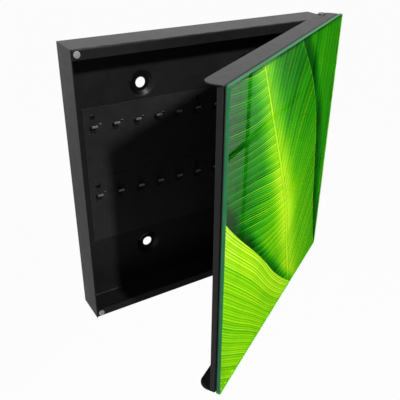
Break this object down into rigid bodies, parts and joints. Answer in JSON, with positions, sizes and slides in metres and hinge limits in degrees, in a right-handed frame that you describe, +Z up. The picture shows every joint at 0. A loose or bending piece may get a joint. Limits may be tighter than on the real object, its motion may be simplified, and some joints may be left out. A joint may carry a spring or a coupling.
{
  "type": "wall key cabinet",
  "caption": "Shallow square wall cabinet for keys: a black folded steel case with rows of lanced hooks, and an overlapping magnetic door of printed glass on side pins.",
  "frame": {"origin": "on the wall, in the middle of the four wall holes", "axes": "+X to the right seen from the front, +Y into the wall, +Z up; the door is stored 31.8 degrees open"},
  "size_m": [0.313, 0.2006, 0.303],
  "materials": {
    "case_paint": "matt black powder coat",
    "plate_paint": "matt black powder coat with bright cut edges at the hook tips",
    "rivet_steel": "dark zinc",
    "magnet_nickel": "bright nickel",
    "glass": "polished toughened glass",
    "print": "leaf print in greens",
    "tape": "foam tape",
    "pin_steel": "dark zinc",
    "washer_nylon": "natural nylon",
    "clip_steel": "spring steel"
  },
  "bodies": {
    "cabinet": {"cabinet_body": "case_paint", "upper_hook_plate": "plate_paint", "lower_hook_plate": "plate_paint", "upper_plate_rivets": "rivet_steel", "lower_plate_rivets": "rivet_steel", "magnet_top": "magnet_nickel", "magnet_bottom": "magnet_nickel", "hinge_washer_top": "washer_nylon", "inner_washer_bottom": "washer_nylon"},
    "door": {"door_pan": "case_paint", "glass_panel": "glass", "print_film": "print", "glass_tape_top": "tape", "glass_tape_bottom": "tape", "glass_tape_left": "tape", "glass_tape_right": "tape", "hinge_pin_top": "pin_steel", "hinge_pin_bottom": "pin_steel", "hinge_washer_bottom": "washer_nylon", "inner_washer_top": "washer_nylon", "pin_clip_top": "clip_steel", "pin_clip_bottom": "clip_steel"}
  },
  "joints": [
    {"name": "door_hinge", "type": "hinge", "parent": "cabinet", "child": "door", "pos_m": [0.1435, -0.0326, 0], "axis": [0, 0, 1], "range_deg": [-31.8, 73.2]}
  ]
}
